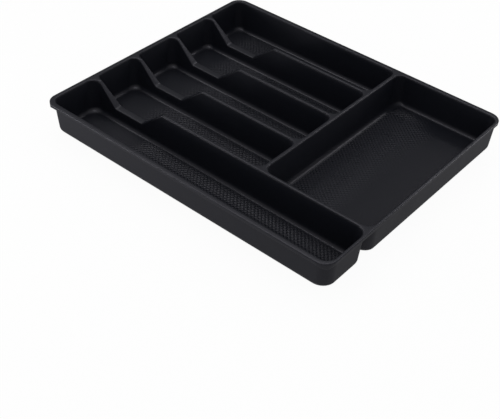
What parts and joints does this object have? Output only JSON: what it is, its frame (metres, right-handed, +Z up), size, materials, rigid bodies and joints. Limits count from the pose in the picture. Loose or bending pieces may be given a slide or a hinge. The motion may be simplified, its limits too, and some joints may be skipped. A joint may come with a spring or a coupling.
{
  "type": "drawer organizer tray",
  "caption": "Black moulded plastic drawer tray: drafted cutlery tubs, a long front tub and a large end tub hung from one lipped rim, with finger notches in the dividers.",
  "frame": {"origin": "middle of the tray's outline, on the plane that its floors stand on", "axes": "+X along the tray from the end with the finger notches to the end with the large tub, +Y from the long tub to the back, +Z up"},
  "size_m": [0.39, 0.329, 0.039],
  "materials": {
    "rim": "satin moulded polypropylene",
    "wall": "satin moulded polypropylene",
    "floor": "moulded polypropylene with a fine diamond texture"
  },
  "bodies": {
    "root": {"rim_frame": "rim", "long_divider": "rim", "cross_divider": "rim", "short_divider_1": "rim", "short_divider_2": "rim", "short_divider_3": "rim", "long_tub_wall": "wall", "long_tub_floor": "floor", "cutlery_tub_1_wall": "wall", "cutlery_tub_1_floor": "floor", "cutlery_tub_2_wall": "wall", "cutlery_tub_2_floor": "floor", "cutlery_tub_3_wall": "wall", "cutlery_tub_3_floor": "floor", "cutlery_tub_4_wall": "wall", "cutlery_tub_4_floor": "floor", "large_tub_wall": "wall", "large_tub_floor": "floor"}
  },
  "joints": []
}
